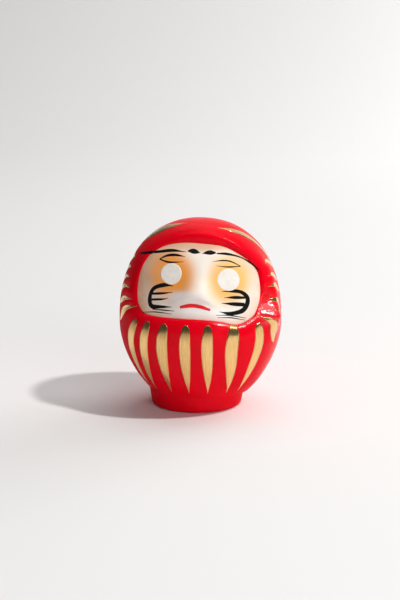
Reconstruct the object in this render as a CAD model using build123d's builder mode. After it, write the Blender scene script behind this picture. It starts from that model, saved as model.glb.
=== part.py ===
from build123d import *
import os
from math import atan2, cos, degrees, hypot, pi, radians, sin

# A daruma doll: a hollow papier-mache shell in two halves, glued to a clay foot and painted.
# Millimetres. +Z is up, the doll faces -Y, and +X is on the viewer's right. The origin is on the
# ground, on the axis of the body.

# ---- Driving dimensions ----------------------------------------------------------------------

# Body: an egg turned about Z, with a quarter superellipse above its widest level and one below.
BODY_RADIUS = 50.0
BODY_LEVEL = 53.3  # height of the widest level
CROWN_RISE = 62.5  # from the widest level to the top
BELLY_DROP = 58.1  # from the widest level to the pole that the foot cuts off
CROWN_POWER = 2.25
BELLY_POWER = 1.81
PROFILE_STEPS = 12  # spline points on each quarter

WALL = 2.0
SEAM_Y = 8.0  # the halves meet behind the middle, out of sight from the front

# Foot: a disc glued a little to one side, under a join that leans down to the right.
FOOT_X = -2.6
FOOT_HEIGHT = 11.8
FOOT_BOTTOM_RADIUS = 28.0
FOOT_TOP_RADIUS = 29.3
FOOT_EDGE = 2.0
JOIN_LEAN = 2.6  # degrees
BOSS_RADIUS = 18.0
BOSS_HEIGHT = 5.0
BOSS_CLEARANCE = 0.3

# Face: sunken, with its outline in a frame of its own that leans to the right.
FACE_X = -0.5
FACE_Z = 86.9  # the line through the eyes
FACE_LEAN = 5.5  # degrees
FACE_RECESS = 5.0
FACE_MIDDLE = -4.0  # middle of the outline below the line through the eyes
FACE_HALF_WIDTH = 36.8
FACE_HALF_HEIGHT = 22.0
RIM_RADIUS = 2.5
# Right half of the outline, from the middle of the brow round to the middle of the chin.
FACE_OUTLINE = [
    (0, 18.2), (10, 17.8), (20, 15), (29, 9), (35, 0), (36.8, -10),
    (35.5, -19), (30.5, -24.8), (24, -26), (12, -24.8), (0, -24.4),
]

# Nose and mouth: one soft mound, a spindle that lies along the slope of the face.
NOSE_TOP = (-30.0, 93.0)  # y and z of the spindle's upper tip
NOSE_TIP = (-39.5, 65.5)  # y and z of its lower tip
NOSE_X = -1.5
NOSE_RADIUS = 9.0

# Seam strip: pasted over the joint inside.
STRIP_WIDTH = 12.0
STRIP_THICKNESS = 0.4

# Paint: thin layers that stand just clear of what they cover.
PAINT_GAP = 0.02
PAINT = 0.3
COAT_INSET = 0.2  # the white coat stops this far inside the outline

EYE_SPACING = 33.8
EYE_WIDTH = 12.8
EYE_HEIGHT = 11.8

# Black and red strokes on the left half of the face, in the face's own frame.
BROW = [(-36, 5.3), (-27, 10.2), (-18, 12.9), (-9.2, 13.3)]
BROW_WIDTH = 1.2
KNOT_MIDDLE = (-4.3, 13.4)
KNOT_LENGTH = 7.0
KNOT_WIDTH = 2.2
UPPER_EYELID = [(-8.5, 9.8), (-15.5, 10.3), (-20, 9.4), (-23.8, 7.3)]
LOWER_EYELID = [(-23.8, 7.3), (-20, 6.8), (-10, 7.6)]
EYELID_WIDTH = 0.8
WHISKER_LOOP = [(-14.5, -7), (-19, -6.9), (-25, -8.2), (-28.7, -13), (-28, -18), (-24, -19.8), (-14.5, -18.9)]
WHISKER_LOOP_WIDTH = 1.8
WHISKER_BARS = [((-27.8, -11.8), (-15.6, -10.4)), ((-27.4, -15.6), (-16, -14))]
WHISKER_BAR_WIDTH = 1.2
CHEEK_LINES = [((-28.2, -22.4), (-12.6, -20.8)), ((-30.5, -24.6), (-14, -22.6))]
CHEEK_LINE_WIDTH = 0.5
MOUTH = [(-9.0, -18.0), (-4.5, -16.8), (0, -16.4), (4, -16.8), (7.5, -17.8)]
MOUTH_WIDTH = 1.8

# Gold strokes down the belly: azimuth from the front, lower and upper tip, width.
BELLY_STROKES = [
    (-59, 14.0, 60.0, 6.5),
    (-43.5, 14.0, 60.0, 6.5),
    (-27, 14.5, 60.5, 6.5),
    (-10.5, 15.0, 60.0, 6.5),
    (6, 14.0, 60.0, 7.0),
    (25, 14.0, 59.0, 8.0),
    (42, 14.0, 58.5, 7.5),
]
# Gold strokes beside the face: azimuth and height of the middle, lean from upright, length, width.
SIDE_STROKES = [
    (55, 53.0, 38, 24.0, 7.0),
    (67, 63.0, 55, 20.0, 5.0),
    (66, 70.5, 70, 20.0, 4.5),
    (68, 78.0, 80, 16.0, 4.0),
    (68, 84.5, 88, 14.0, 3.5),
    (73, 90.5, 95, 12.0, 3.5),
    (-70, 63.0, -55, 20.0, 6.0),
    (-69, 70.5, -70, 20.0, 4.5),
    (-74, 77.5, -80, 16.0, 4.0),
    (-78, 84.0, -88, 14.0, 3.5),
    (-82, 90.5, -95, 12.0, 3.5),
]
# Gold strokes on the crown: middle in plan, lean in plan, length, width.
CROWN_STROKES = [
    (-20.5, -6.5, 70, 22.0, 6.5),
    (22.5, -12.5, -68, 25.0, 6.0),
]

FRONT = 70.0  # sketches for the face stand this far in front of the axis
STROKE_START = 20.0  # strokes on the body are pushed outwards from this radius

face_plane = Plane(
    origin=(FACE_X, -FRONT, FACE_Z),
    x_dir=(cos(radians(FACE_LEAN)), 0, -sin(radians(FACE_LEAN))),
    z_dir=(0, -1, 0),
)
join_plane = Plane(
    origin=(FOOT_X, 0, FOOT_HEIGHT),
    z_dir=(sin(radians(JOIN_LEAN)), 0, cos(radians(JOIN_LEAN))),
)
seam_plane = Plane.XZ.offset(-SEAM_Y)


# ---- Shared forms ----------------------------------------------------------------------------


def egg(grow, back=0.0):
    """The body's solid form, grown by a thickness and moved back."""
    radius = BODY_RADIUS + grow
    above = CROWN_RISE + grow
    below = BELLY_DROP + grow
    turns = [pi / 2 * step / PROFILE_STEPS for step in range(PROFILE_STEPS)]
    crown = [(0, BODY_LEVEL + above)]
    crown += [
        (radius * cos(turn) ** (2 / CROWN_POWER), BODY_LEVEL + above * sin(turn) ** (2 / CROWN_POWER))
        for turn in reversed(turns)
    ]
    belly = [
        (radius * cos(turn) ** (2 / BELLY_POWER), BODY_LEVEL - below * sin(turn) ** (2 / BELLY_POWER))
        for turn in turns[1:]
    ]
    belly.append((0, BODY_LEVEL - below))
    with BuildPart() as form:
        with BuildSketch(Plane.XZ.offset(-back)):
            with BuildLine():
                curve = Spline(crown + belly, tangents=[(1, 0), (-1, 0)])
                Line(curve @ 1, curve @ 0)
            make_face()
        revolve(axis=Axis((0, back, 0), (0, 0, 1)))
    return form.part


def nose(grow):
    """The mound of nose and mouth, grown by a thickness."""
    run_y = NOSE_TIP[0] - NOSE_TOP[0]
    run_z = NOSE_TIP[1] - NOSE_TOP[1]
    half_length = hypot(run_y, run_z) / 2
    middle = ((NOSE_TOP[0] + NOSE_TIP[0]) / 2, (NOSE_TOP[1] + NOSE_TIP[1]) / 2)
    along = degrees(atan2(run_z, run_y))
    with BuildPart() as mound:
        with BuildSketch(Plane.YZ.offset(NOSE_X)):
            with Locations(middle):
                Ellipse(half_length + grow, NOSE_RADIUS + grow, rotation=along)
            with Locations(middle):
                Rectangle(
                    4 * half_length, 4 * NOSE_RADIUS, rotation=along,
                    align=(Align.CENTER, Align.MIN), mode=Mode.SUBTRACT,
                )
        revolve(axis=Axis((NOSE_X, *middle), (0, run_y, run_z)))
    return mound.part


def face_form(grow):
    """A solid whose front is the surface of the sunken face."""
    with BuildPart() as form:
        add(egg(grow, FACE_RECESS))
        add(nose(grow))
    return form.part


def face_prism(grow):
    """The face's outline, grown all round, pushed back to the middle of the body."""
    wide = 1 + grow / FACE_HALF_WIDTH
    high = 1 + grow / FACE_HALF_HEIGHT
    half = [(u * wide, FACE_MIDDLE + (v - FACE_MIDDLE) * high) for u, v in FACE_OUTLINE]
    with BuildPart() as prism:
        with BuildSketch(face_plane):
            with BuildLine():
                Spline(half, tangents=[(1, 0), (-1, 0)])
                mirror(about=Plane.YZ)
            make_face()
        extrude(amount=-FRONT)
    return prism.part


def layer(form, bottom, top):
    """The thin space between two growths of a form."""
    with BuildPart() as space:
        add(form(top))
        add(form(bottom), mode=Mode.SUBTRACT)
    return space.part


def leaf(length, width):
    """A brush stroke with a point at both ends, upright on the sketch plane."""
    with BuildSketch() as outline:
        with BuildLine():
            ThreePointArc((0, -length / 2), (width / 2, 0), (0, length / 2))
            mirror(about=Plane.YZ)
        make_face()
    return outline.sketch


def brush_line(points, width):
    """A painted line of even width, smooth through its points."""
    with BuildSketch() as mark:
        with BuildLine() as path:
            Spline(points)
        trace(path.line.edges(), width)
    return mark.sketch


def stroke_plane(azimuth, height):
    """An upright plane inside the body that looks out at an azimuth from the front."""
    turn = radians(azimuth)
    outward = Vector(sin(turn), -cos(turn), 0)
    across = Vector(cos(turn), sin(turn), 0)
    return Plane(outward * STROKE_START + Vector(0, 0, height), across, outward)


def finish(piece, name):
    """Label a finished piece and write it out."""
    piece.part.label = name
    export_step(piece.part, f"parts/{name}.step")


os.makedirs("parts", exist_ok=True)

body_paint = layer(egg, PAINT_GAP, PAINT_GAP + PAINT)
coat_top = PAINT_GAP + PAINT
face_paint = layer(face_form, coat_top + PAINT_GAP, coat_top + PAINT_GAP + PAINT)
face_area = face_prism(-COAT_INSET)

# ---- Shell -----------------------------------------------------------------------------------

with BuildPart() as face_well:
    add(face_prism(0))
    add(face_form(0), mode=Mode.SUBTRACT)

with BuildPart() as inner_well:
    add(face_prism(WALL))
    add(egg(-WALL, FACE_RECESS), mode=Mode.SUBTRACT)

with BuildPart() as cavity:
    add(egg(-WALL))
    add(inner_well.part, mode=Mode.SUBTRACT)
    split(bisect_by=join_plane.offset(WALL), keep=Keep.TOP)

with BuildPart() as shell:
    add(egg(0))
    add(face_well.part, mode=Mode.SUBTRACT)
    fillet(shell.edges(Select.LAST).sort_by(Axis.Y)[0], RIM_RADIUS)
    split(bisect_by=join_plane, keep=Keep.TOP)
    add(cavity.part, mode=Mode.SUBTRACT)
    with BuildSketch(join_plane):
        Circle(BOSS_RADIUS + BOSS_CLEARANCE)
    extrude(amount=WALL, mode=Mode.SUBTRACT)

with BuildPart() as front_shell:
    add(shell.part)
    split(bisect_by=seam_plane, keep=Keep.TOP)
finish(front_shell, "front_shell")

with BuildPart() as back_shell:
    add(shell.part)
    split(bisect_by=seam_plane, keep=Keep.BOTTOM)
finish(back_shell, "back_shell")

with BuildPart() as seam_strip:
    add(layer(egg, -WALL - PAINT_GAP - STRIP_THICKNESS, -WALL - PAINT_GAP))
    split(bisect_by=seam_plane.offset(STRIP_WIDTH / 2), keep=Keep.BOTTOM)
    split(bisect_by=seam_plane.offset(-STRIP_WIDTH / 2), keep=Keep.TOP)
    split(bisect_by=join_plane.offset(WALL), keep=Keep.TOP)
finish(seam_strip, "seam_strip")

# ---- Foot ------------------------------------------------------------------------------------

foot_taper = -degrees(atan2(FOOT_TOP_RADIUS - FOOT_BOTTOM_RADIUS, FOOT_HEIGHT))

with BuildPart() as base_weight:
    with BuildSketch():
        with Locations((FOOT_X, 0)):
            Circle(FOOT_BOTTOM_RADIUS)
    extrude(amount=2 * FOOT_HEIGHT, taper=foot_taper)
    split(bisect_by=join_plane, keep=Keep.BOTTOM)
    fillet(base_weight.edges().group_by(Axis.Z)[0], FOOT_EDGE)
    with BuildSketch(join_plane):
        Circle(BOSS_RADIUS)
    extrude(amount=BOSS_HEIGHT)
finish(base_weight, "base_weight")

# ---- Face ------------------------------------------------------------------------------------

with BuildPart() as face_coat:
    add(layer(face_form, PAINT_GAP, coat_top))
    add(face_area, mode=Mode.INTERSECT)
finish(face_coat, "face_coat")

with BuildPart() as eye_spots:
    with BuildSketch(face_plane):
        with GridLocations(EYE_SPACING, 0, 2, 1):
            Ellipse(EYE_WIDTH / 2, EYE_HEIGHT / 2)
    extrude(amount=-FRONT)
    add(face_paint, mode=Mode.INTERSECT)
finish(eye_spots, "eye_spots")

with BuildPart() as brow_lines:
    with BuildSketch(face_plane):
        add(brush_line(BROW, BROW_WIDTH))
        with Locations(KNOT_MIDDLE):
            add(leaf(KNOT_LENGTH, KNOT_WIDTH), rotation=90)
        mirror(about=Plane.YZ)
    extrude(amount=-FRONT)
    add(face_area, mode=Mode.INTERSECT)
    add(face_paint, mode=Mode.INTERSECT)
finish(brow_lines, "brow_lines")

with BuildPart() as eyelid_lines:
    with BuildSketch(face_plane):
        add(brush_line(UPPER_EYELID, EYELID_WIDTH))
        add(brush_line(LOWER_EYELID, EYELID_WIDTH))
        mirror(about=Plane.YZ)
    extrude(amount=-FRONT)
    add(face_paint, mode=Mode.INTERSECT)
finish(eyelid_lines, "eyelid_lines")

with BuildPart() as whisker_lines:
    with BuildSketch(face_plane):
        add(brush_line(WHISKER_LOOP, WHISKER_LOOP_WIDTH))
        for ends in WHISKER_BARS:
            add(brush_line(ends, WHISKER_BAR_WIDTH))
        for ends in CHEEK_LINES:
            add(brush_line(ends, CHEEK_LINE_WIDTH))
        mirror(about=Plane.YZ)
    extrude(amount=-FRONT)
    add(face_paint, mode=Mode.INTERSECT)
finish(whisker_lines, "whisker_lines")

with BuildPart() as mouth_line:
    with BuildSketch(face_plane):
        add(brush_line(MOUTH, MOUTH_WIDTH))
    extrude(amount=-FRONT)
    add(face_paint, mode=Mode.INTERSECT)
finish(mouth_line, "mouth_line")

# ---- Gold ------------------------------------------------------------------------------------

with BuildPart() as gold_belly_strokes:
    for azimuth, low, high, width in BELLY_STROKES:
        with BuildSketch(stroke_plane(azimuth, (low + high) / 2)):
            add(leaf(high - low, width))
        extrude(amount=BODY_RADIUS)
    add(body_paint, mode=Mode.INTERSECT)
finish(gold_belly_strokes, "gold_belly_strokes")

with BuildPart() as gold_side_strokes:
    for azimuth, height, lean, length, width in SIDE_STROKES:
        with BuildSketch(stroke_plane(azimuth, height)):
            add(leaf(length, width), rotation=lean)
        extrude(amount=BODY_RADIUS)
    add(body_paint, mode=Mode.INTERSECT)
finish(gold_side_strokes, "gold_side_strokes")

with BuildPart() as gold_crown_strokes:
    with BuildSketch(Plane.XY.offset(FACE_Z)):
        for x, y, lean, length, width in CROWN_STROKES:
            with Locations((x, y)):
                add(leaf(length, width), rotation=lean)
    extrude(amount=CROWN_RISE)
    add(body_paint, mode=Mode.INTERSECT)
finish(gold_crown_strokes, "gold_crown_strokes")
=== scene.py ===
import math

import bmesh
import bpy
import numpy as np
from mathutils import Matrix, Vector, noise
from mathutils.bvhtree import BVHTree


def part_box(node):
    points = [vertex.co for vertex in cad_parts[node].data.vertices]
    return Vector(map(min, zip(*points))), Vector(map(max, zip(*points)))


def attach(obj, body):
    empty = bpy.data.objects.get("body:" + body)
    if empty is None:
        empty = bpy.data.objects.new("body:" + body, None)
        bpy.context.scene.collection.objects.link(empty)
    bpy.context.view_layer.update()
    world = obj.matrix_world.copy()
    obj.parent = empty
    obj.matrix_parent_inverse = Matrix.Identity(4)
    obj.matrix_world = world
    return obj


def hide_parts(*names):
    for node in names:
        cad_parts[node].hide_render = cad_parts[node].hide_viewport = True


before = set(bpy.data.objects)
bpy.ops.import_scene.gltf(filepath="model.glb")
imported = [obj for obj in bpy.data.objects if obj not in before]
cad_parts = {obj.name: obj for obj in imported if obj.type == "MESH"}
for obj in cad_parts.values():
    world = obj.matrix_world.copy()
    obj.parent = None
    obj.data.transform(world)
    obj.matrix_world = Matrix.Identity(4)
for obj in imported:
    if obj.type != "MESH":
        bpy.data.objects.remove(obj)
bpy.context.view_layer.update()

# Shapes are worked out in millimetres, in the frame's axes, and become metres when a mesh is made.
# The doll faces -Y. "Azimuth" is counted from the front towards +X, in degrees.
MM = 0.001


# ---- The body's form, from the frame ----

front_low, front_high = (np.array(corner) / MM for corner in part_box("front_shell"))
foot_low, foot_high = (np.array(corner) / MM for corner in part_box("base_weight"))

BODY_RADIUS = (front_high[0] - front_low[0]) / 2
BODY_TOP = front_high[2]
BODY_LEVEL = 0.4603 * BODY_TOP  # the widest level
CROWN_RISE = BODY_TOP - BODY_LEVEL
BELLY_DROP = 1.09 * BODY_LEVEL
CROWN_POWER = 2.25
BELLY_POWER = 1.81
WALL = 2.0
SEAM_Y = front_high[1]

# The foot follows the CAD disc, a little further right, wider at the top and narrower at the bottom.
FOOT_X = (foot_low[0] + foot_high[0]) / 2 + 0.4
FOOT_TOP_RADIUS = (foot_high[0] - foot_low[0]) / 2 + 0.6
FOOT_BOTTOM_RADIUS = FOOT_TOP_RADIUS - 1.8
FOOT_HEIGHT = 11.8
FOOT_EDGE = 2.8
JOIN_LEAN = math.radians(2.6)  # the join under the body leans down to the right

# The face has a frame of its own: u to the right and v up, from the middle of the line through
# the eyes. It leans to the right.
FACE_X = -0.5
FACE_Z = 86.9
FACE_LEAN = math.radians(5.5)
FACE_MIDDLE = (0.0, -4.0)
HEAD_MIDDLE = np.array((0.0, 0.0, 62.0))  # rays to the shell start here
FACE_AXIS = np.array((0.0, -0.875, 0.484))

# How fine the shell's mesh is: columns round the face, and rings from its middle to the back.
AROUND = 320
FACE_RINGS = 64
ROLL_RINGS = 18
BODY_RINGS = 128
CURVE_STEPS = 24  # between two points of the face's outline


def smooth_steps(knots, at):
    """Smooth curve through (place, value) knots, flat at both ends, read at one or more places."""
    places = np.array([place for place, value in knots], float)
    values = np.array([value for place, value in knots], float)
    slopes = np.zeros(len(knots))
    slopes[1:-1] = (values[2:] - values[:-2]) / (places[2:] - places[:-2])
    at = np.clip(at, places[0], places[-1])
    cell = np.clip(np.searchsorted(places, at, side="right") - 1, 0, len(knots) - 2)
    width = places[cell + 1] - places[cell]
    t = (at - places[cell]) / width
    rise = values[cell] * (1 + 2 * t) * (1 - t) ** 2 + values[cell + 1] * t * t * (3 - 2 * t)
    lean = slopes[cell] * t * (1 - t) ** 2 - slopes[cell + 1] * t * t * (1 - t)
    return rise + lean * width


def on_curve(before, start, end, after, t):
    """A point on the smooth curve from start to end, between their neighbours' points."""
    cubic = 3 * (start - end) + after - before
    square = 2 * before - 5 * start + 4 * end - after
    return start + 0.5 * t * (end - before + t * (square + t * cubic))


def closed_curve(points, steps):
    """How far a smooth closed curve is from the face's middle, at angles evenly spaced round it."""
    points = np.array(points, float)
    dense = []
    for i in range(len(points)):
        corners = [points[(i + k) % len(points)] for k in (-1, 0, 1, 2)]
        for t in np.linspace(0, 1, CURVE_STEPS, endpoint=False):
            dense.append(on_curve(*corners, t))
    dense = np.array(dense) - FACE_MIDDLE
    angles = np.arctan2(dense[:, 1], dense[:, 0])
    reach = np.hypot(dense[:, 0], dense[:, 1])
    order = np.argsort(angles)
    around = np.linspace(-math.pi, math.pi, steps, endpoint=False)
    return around, np.interp(around, angles[order], reach[order], period=2 * math.pi)


def through(points, step):
    """Points along a smooth open curve through given points."""
    points = np.array(points, float)
    first = 2 * points[:1] - points[1:2]
    last = 2 * points[-1:] - points[-2:-1]
    ends = np.concatenate((first, points, last))
    found = []
    for i in range(len(points) - 1):
        corners = ends[i : i + 4]
        count = max(2, int(np.linalg.norm(corners[2] - corners[1]) / step))
        for t in np.linspace(0, 1, count, endpoint=False):
            found.append(on_curve(*corners, t))
    found.append(points[-1])
    return np.array(found)


def body_reach(z):
    """The egg's radius at a height."""
    above = np.clip((z - BODY_LEVEL) / CROWN_RISE, 0, 1)
    below = np.clip((BODY_LEVEL - z) / BELLY_DROP, 0, 1)
    crown = (1 - above**CROWN_POWER) ** (1 / CROWN_POWER)
    belly = (1 - below**BELLY_POWER) ** (1 / BELLY_POWER)
    return BODY_RADIUS * np.where(z > BODY_LEVEL, crown, belly)


def body_excess(points):
    """Below zero inside the egg and above zero outside."""
    reach = np.hypot(points[:, 0], points[:, 1]) / BODY_RADIUS
    rise = points[:, 2] - BODY_LEVEL
    above = np.clip(rise / CROWN_RISE, 0, None)
    below = np.clip(-rise / BELLY_DROP, 0, None)
    crown = reach**CROWN_POWER + above**CROWN_POWER
    belly = reach**BELLY_POWER + below**BELLY_POWER
    return np.where(rise > 0, crown, belly) - 1


def on_body(directions):
    """Where rays from the head's middle leave the egg."""
    near = np.zeros(len(directions))
    far = np.full(len(directions), 2.0 * BODY_RADIUS)
    for _ in range(40):
        middle = (near + far) / 2
        inside = body_excess(HEAD_MIDDLE + directions * middle[:, None]) < 0
        near = np.where(inside, middle, near)
        far = np.where(inside, far, middle)
    return HEAD_MIDDLE + directions * near[:, None]


def unit(vectors):
    return vectors / np.maximum(np.linalg.norm(vectors, axis=-1, keepdims=True), 1e-12)


def body_normals(points):
    """Outward normals of the egg."""
    across = np.maximum(np.hypot(points[:, 0], points[:, 1]), 1e-9)
    rise = points[:, 2] - BODY_LEVEL
    power = np.where(rise > 0, CROWN_POWER, BELLY_POWER)
    span = np.where(rise > 0, CROWN_RISE, BELLY_DROP)
    outward = (across / BODY_RADIUS) ** (power - 1) / BODY_RADIUS
    upward = np.sign(rise) * (np.abs(rise) / span) ** (power - 1) / span
    sideways = points[:, :2] / across[:, None] * outward[:, None]
    return unit(np.column_stack((sideways, upward)))


# ---- Gold strokes on the body ----

# Down the belly: azimuth at the top, at the middle and at the tip, height of the top, width.
BELLY_STROKES = [
    (-50.5, -59, -59, 60, 6.8),
    (-39, -44, -49, 60, 6.6),
    (-25.5, -28, -29.5, 60, 7.2),
    (-10, -11, -11, 60, 6.6),
    (5, 4.5, 7, 60, 6.8),
    (24, 22, 26.5, 59, 8.2),
    (43, 44.5, 40, 58.5, 7.4),
]
BELLY_MIDDLE = 43
BELLY_TIP = 14.5
# Along a belly stroke, from its blunt top to its tip: (share of the length, share of the width).
BELLY_LEAF = [(0, 0.25), (0.04, 0.68), (0.25, 1), (0.5, 0.93), (0.75, 0.55), (1, 0.04)]

# Beside the face: (azimuth, z) at the thin front end, on the bend and at the outer end; width.
SIDE_STROKES = [
    ((46, 62.5), (54.5, 57), (64.5, 43), 7.4),
    ((58, 66), (66, 60.5), (74, 51.5), 5.4),
    ((57, 70.5), (67, 69), (78, 61), 5.0),
    ((58, 78.5), (69, 78), (83, 72), 4.4),
    ((60, 84.5), (71, 84), (86, 78.5), 4.2),
    ((64, 91), (76, 91.5), (93, 85), 3.6),
    ((-52, 67.5), (-67, 64), (-80, 54), 4.8),
    ((-57, 71), (-72, 69.5), (-85, 64), 3.6),
    ((-63, 77), (-79, 76), (-92, 70), 2.8),
    ((-70, 82.5), (-84, 81), (-96, 75), 2.8),
    ((-74, 87.5), (-88, 86.5), (-100, 81), 2.6),
    ((-80, 93), (-93, 92), (-104, 87), 2.2),
]
SIDE_LEAF = [(0, 0.05), (0.3, 0.5), (0.6, 1), (0.85, 0.7), (1, 0.05)]


# ---- The sunken face ----

# Outline of the face in its own frame, from the right end round by the top.
FACE_OUTLINE = [
    (37, -9), (34.5, 3), (29, 9.5), (21.5, 14), (12, 17.5), (0, 18), (-10, 17.5),
    (-19, 15.5), (-25.5, 12), (-31, 7), (-35, -2), (-36, -12), (-35, -20.5), (-31.5, -25.5),
    (-26, -26.5), (-10, -25), (5, -24), (15, -24.5), (24, -26), (30, -24), (35, -19.5),
]
around, outline_reach = closed_curve(FACE_OUTLINE, AROUND)

FACE_RECESS = 5.0
HOLLOW_DEPTH = 0.9  # the eyes lie in shallow hollows
HOLLOW_PLACE = (17, 0.5)
HOLLOW_SIZE = (10, 9)

# Relief down the middle of the face, as (v, height), and the nose's half width, as (v, half width).
NOSE_U = -1.0
NOSE_HEIGHT = [
    (-24, 0), (-20, 0.3), (-17, 0.9), (-14.5, 1.7), (-13, 2.7), (-11.5, 4.0),
    (-10, 4.4), (-8, 4.1), (-4, 2.8), (0, 1.5), (6, 0.5), (12, 0),
]
NOSE_WIDTH = [(-20, 14), (-14, 13.5), (-10, 11.5), (-5, 9), (0, 7), (12, 5)]
LIPS_HEIGHT = [
    (-26, 0.4), (-24, 0.8), (-22, 1.1), (-20, 1.3),
    (-17.5, 1.3), (-15.5, 1.0), (-13.5, 0.4), (-11, 0),
]
LIPS_WIDTH = 13.5
NOSTRIL_ARCH = 0.022  # how fast the nose's underside rises to either side
NOSTRIL_ARCH_LIMIT = 6.0


def by_side(turn, left, right, hood, chin):
    """A measure that changes round the face, between its left, its right, the hood and the chin."""
    beside = np.abs(np.cos(turn))
    side = left + (right - left) * (0.5 + 0.5 * np.cos(turn))
    up = np.clip(np.sin(turn), 0, 1) ** (2.5 - np.cos(turn))
    down = np.clip((0.15 * beside - np.sin(turn)) / (0.88 - 0.1 * beside), 0, 1)
    down = down**2 * (3 - 2 * down)
    return side + (hood - side) * up + (chin - side) * down


def nose_relief(u, v):
    """How far the nose, with its arched underside, and the lips stand out of the face."""
    off = u - NOSE_U
    arched = v + np.minimum(NOSTRIL_ARCH * off**2, NOSTRIL_ARCH_LIMIT)
    nose = smooth_steps(NOSE_HEIGHT, arched)
    nose_width = smooth_steps(NOSE_WIDTH, arched)
    lips = smooth_steps(LIPS_HEIGHT, v)
    nose = nose * np.exp(-np.abs(off / nose_width) ** 2.5)
    return nose + lips * np.exp(-np.abs(off / LIPS_WIDTH) ** 5)


def face_depth(u, v, share, turn):
    """How far the face lies behind the egg, along Y."""
    rim = by_side(turn, left=0.1, right=2.4, hood=4.0, chin=4.6)
    depth = FACE_RECESS + (rim - FACE_RECESS) * share**2
    for side in (-1, 1):
        across = (u - HOLLOW_PLACE[0] * side) / HOLLOW_SIZE[0]
        up = (v - HOLLOW_PLACE[1]) / HOLLOW_SIZE[1]
        depth = depth + HOLLOW_DEPTH * np.exp(-(across**2) - up**2)
    return depth - nose_relief(u, v)


def on_face(u, v, share, turn):
    """Points of the face's surface."""
    cos, sin = math.cos(FACE_LEAN), math.sin(FACE_LEAN)
    x = FACE_X + u * cos + v * sin
    z = FACE_Z - u * sin + v * cos
    y = -np.sqrt(np.clip(body_reach(z) ** 2 - x**2, 0, None)) + face_depth(u, v, share, turn)
    return np.stack((x, y, z), axis=-1)


def waviness(points):
    """Slight unevenness of papier-mache, along the normal: swells with finer ones on them."""
    apart = Vector((9, 4, 2))
    lifts = []
    for point in points:
        broad = 0.15 * noise.noise(Vector(point) / 17.0)
        fine = 0.07 * noise.noise(Vector(point) / 6.0 + apart)
        lifts.append(broad + fine)
    return np.array(lifts)


# ---- Materials ----

PAINTS = {}  # by name; a piece's paint is named like its slot


def new_material(name):
    """The node tree and the shader of a new material."""
    PAINTS[name] = bpy.data.materials.new(name)
    PAINTS[name].use_nodes = True
    tree = PAINTS[name].node_tree
    return tree, tree.nodes["Principled BSDF"]


def set_inputs(tree, made, inputs):
    """Give a node's inputs their values, or link them."""
    for key, value in inputs.items():
        if isinstance(value, bpy.types.NodeSocket):
            tree.links.new(value, made.inputs[key])
        else:
            made.inputs[key].default_value = value


def node(tree, kind, inputs, **settings):
    made = tree.nodes.new(kind)
    for key, value in settings.items():
        setattr(made, key, value)
    set_inputs(tree, made, inputs)
    return made.outputs


def object_place(tree):
    return node(tree, "ShaderNodeTexCoord", {})["Object"]


def attribute(tree, name, output="Fac"):
    return node(tree, "ShaderNodeAttribute", {}, attribute_name=name)[output]


def separate(tree, vector, axis):
    return node(tree, "ShaderNodeSeparateXYZ", {"Vector": vector})[axis]


def maths(tree, operation, *values):
    return node(tree, "ShaderNodeMath", dict(enumerate(values)), operation=operation)["Value"]


def vector_maths(tree, operation, *values):
    found = node(tree, "ShaderNodeVectorMath", dict(enumerate(values)), operation=operation)
    return found["Value" if operation in ("LENGTH", "DOT_PRODUCT") else "Vector"]


def mapped(tree, value, source, target, kind="LINEAR"):
    """A value carried from one span to another, and held at its ends."""
    inputs = {"Value": value}
    inputs["From Min"], inputs["From Max"] = source
    inputs["To Min"], inputs["To Max"] = target
    return node(tree, "ShaderNodeMapRange", inputs, interpolation_type=kind)["Result"]


def mixed(tree, share, colour, other):
    """A colour, with a share of another one over it."""
    inputs = {"Factor": share, "A": colour, "B": (*other, 1)}
    return node(tree, "ShaderNodeMix", inputs, data_type="RGBA")["Result"]


def clouds(tree, vector, scale, detail=3.0, roughness=0.5):
    """Noise with a scale in features per metre."""
    inputs = {"Vector": vector, "Scale": scale, "Detail": detail, "Roughness": roughness}
    return node(tree, "ShaderNodeTexNoise", inputs)["Fac"]


def ramp(tree, factor, dark, light, start=0.3, end=0.7):
    """A colour from dark to light, as the factor goes from start to end."""
    made = tree.nodes.new("ShaderNodeValToRGB")
    tree.links.new(factor, made.inputs["Fac"])
    for point, place, colour in zip(made.color_ramp.elements, (start, end), (dark, light)):
        point.position = place
        point.color = (*colour, 1)
    return made.outputs["Color"]


def bump(tree, height, strength, distance):
    inputs = {"Height": height, "Strength": strength, "Distance": distance}
    return node(tree, "ShaderNodeBump", inputs)["Normal"]


RED_LIGHT = (0.86, 0.0005, 0.013)
RED_DARK = (0.78, 0.0, 0.008)
WRINKLE_HEIGHT = 0.00014  # metres
DENT_HEIGHT = 0.0004  # metres, where the paper is tucked
LIT_SIDE_SHEEN_ACROSS = (1.0, 0, 0.5)  # painted sheen: the lacquer's sheen grows to the right and upwards, towards the lamps


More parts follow.
